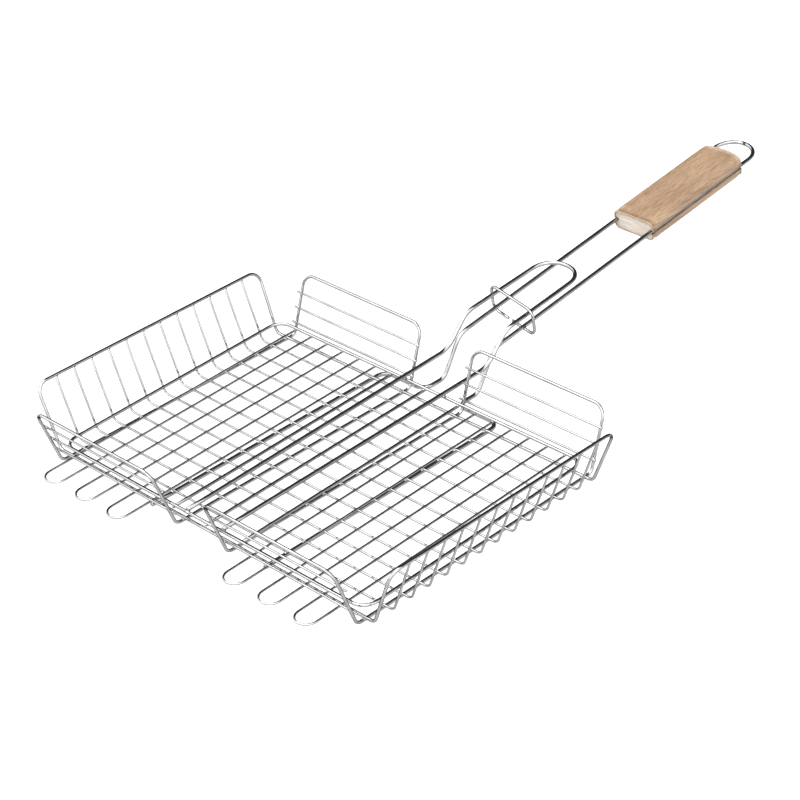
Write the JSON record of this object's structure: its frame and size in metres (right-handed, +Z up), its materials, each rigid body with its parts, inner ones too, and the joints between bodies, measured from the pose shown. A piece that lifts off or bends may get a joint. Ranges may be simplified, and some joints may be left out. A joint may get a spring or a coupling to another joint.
{
  "type": "grill basket",
  "caption": "Wire grilling basket with flared walls, a hinged wire lid hooked through the front wall, a sliding lock ring and a wooden grip on twin rods.",
  "frame": {"origin": "middle of the footprint, on the surface that the basket stands on", "axes": "+Y from the basket towards the grip along the length, +Z up, +X to the right seen from the front wall"},
  "size_m": [0.3852, 0.6662, 0.0799],
  "materials": {
    "chrome_wire": "bright chrome plating on bent steel wire",
    "beech": "oiled beech, smooth, with fine dark flecks"
  },
  "bodies": {
    "basket": {"side_hoop": "chrome_wire", "left_panel_hoop": "chrome_wire", "right_panel_hoop": "chrome_wire", "cross_wire_01": "chrome_wire", "cross_wire_02": "chrome_wire", "cross_wire_03": "chrome_wire", "cross_wire_04": "chrome_wire", "cross_wire_05": "chrome_wire", "cross_wire_06": "chrome_wire", "cross_wire_07": "chrome_wire", "cross_wire_08": "chrome_wire", "cross_wire_09": "chrome_wire", "cross_wire_10": "chrome_wire", "cross_wire_11": "chrome_wire", "cross_wire_12": "chrome_wire", "front_left_wire_low": "chrome_wire", "front_right_wire_low": "chrome_wire", "back_left_wire_low": "chrome_wire", "back_right_wire_low": "chrome_wire", "front_left_wire_middle": "chrome_wire", "front_right_wire_middle": "chrome_wire", "back_left_wire_middle": "chrome_wire", "back_right_wire_middle": "chrome_wire", "front_left_wire_high": "chrome_wire", "front_right_wire_high": "chrome_wire", "back_left_wire_high": "chrome_wire", "back_right_wire_high": "chrome_wire", "handle_frame": "chrome_wire", "wooden_grip": "beech"},
    "lid": {"lid_perimeter": "chrome_wire", "left_finger_wire_1": "chrome_wire", "right_finger_wire_1": "chrome_wire", "left_finger_wire_2": "chrome_wire", "right_finger_wire_2": "chrome_wire", "left_finger_wire_3": "chrome_wire", "right_finger_wire_3": "chrome_wire", "lid_bar_left": "chrome_wire", "lid_bar_middle": "chrome_wire", "lid_bar_right": "chrome_wire", "lid_handle_loop": "chrome_wire"},
    "ring": {"lock_ring": "chrome_wire"}
  },
  "joints": [
    {"name": "lid_hinge", "type": "hinge", "parent": "basket", "child": "lid", "pos_m": [0, -0.30149, 0.0129], "axis": [1, 0, 0], "range_deg": [0, 75]},
    {"name": "lock_ring_slide", "type": "slide", "parent": "basket", "child": "ring", "axis": [0, 0.9926, 0.1212], "range_m": [0, 0.14]}
  ]
}
